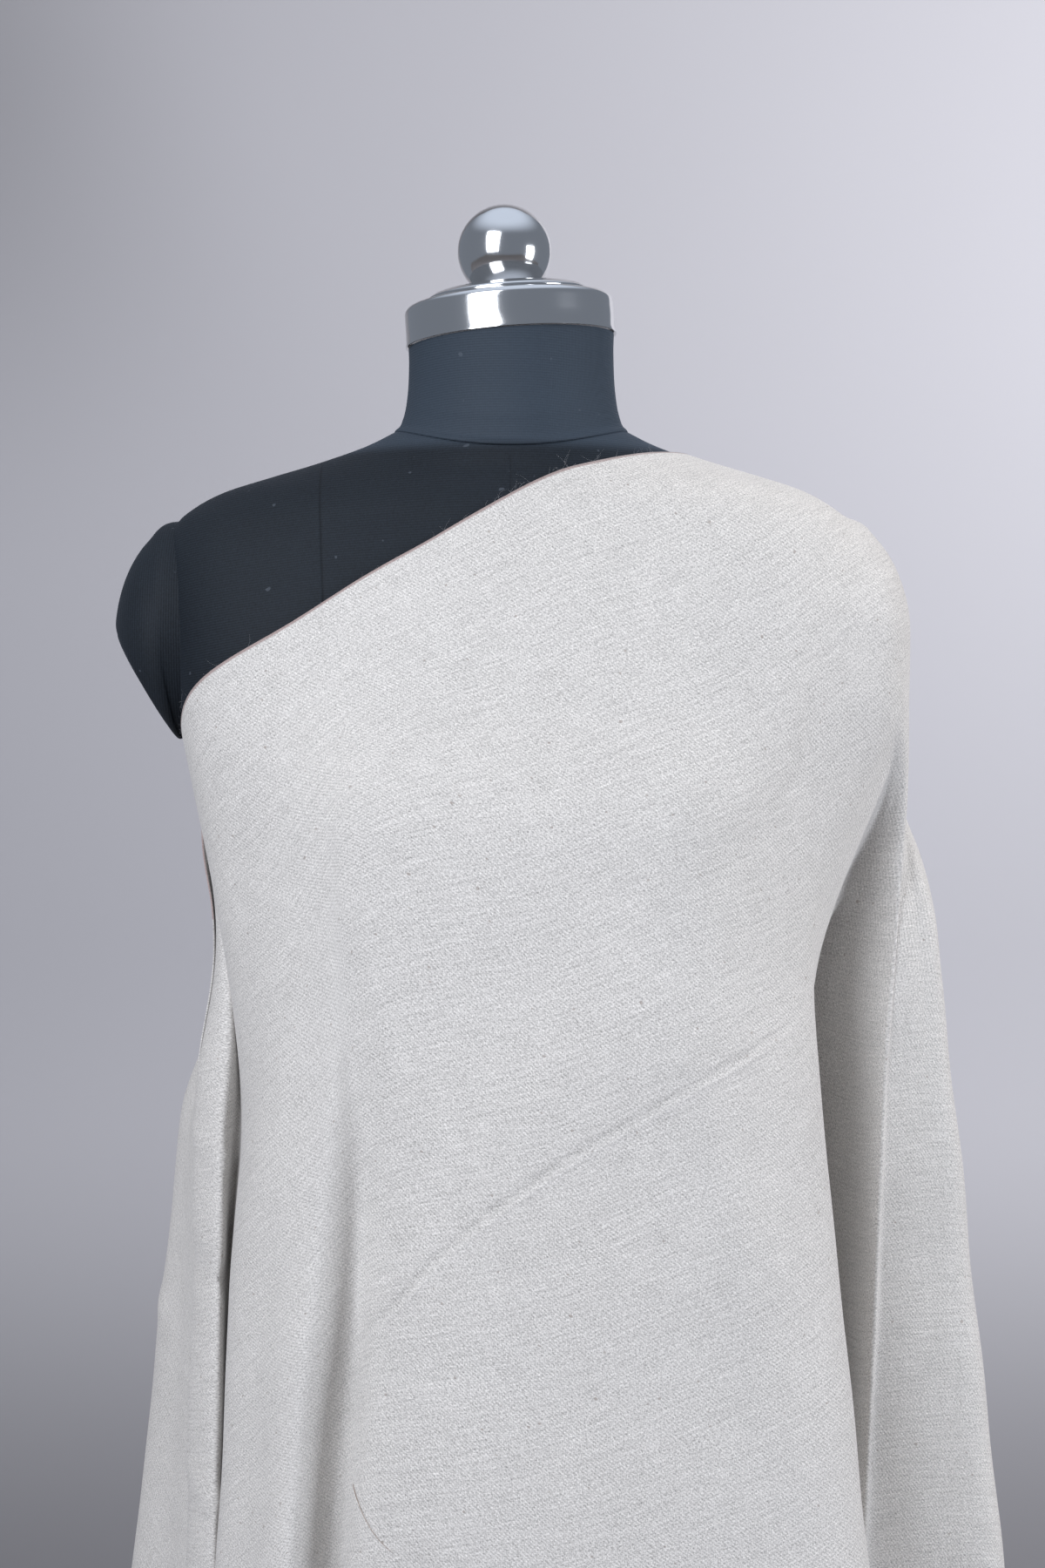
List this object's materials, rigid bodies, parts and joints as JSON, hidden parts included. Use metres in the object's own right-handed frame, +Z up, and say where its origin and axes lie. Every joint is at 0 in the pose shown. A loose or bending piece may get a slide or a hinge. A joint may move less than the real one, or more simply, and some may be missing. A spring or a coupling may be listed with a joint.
{
  "type": "wool stole on a dress form",
  "caption": "Pale wool twill stole wound off one shoulder of a limbless black jersey dress form, which has a metal neck cap with a ball and stands on a post and a round base.",
  "frame": {"origin": "centre of the underside of the stand's round base", "axes": "+Z up along the post, -Y towards the form's front, +X towards the covered shoulder, at the viewer's right"},
  "size_m": [0.5018, 0.38, 1.5416],
  "materials": {
    "wool": "fine undyed wool twill, matt, with a light nap",
    "jersey": "black cotton jersey stretched over a hard shell, matt",
    "polished_metal": "polished plating",
    "painted_steel": "semi-matt black paint"
  },
  "bodies": {
    "root": {"torso": "jersey", "neck": "jersey", "arm_cap_right": "jersey", "arm_cap_left": "jersey", "neck_cap": "polished_metal", "cap_disc": "polished_metal", "ball_finial": "polished_metal", "bottom_plate": "painted_steel", "post": "polished_metal", "stand_base": "painted_steel", "stole_front": "wool", "stole_arm": "wool", "stole_back": "wool"}
  },
  "joints": []
}
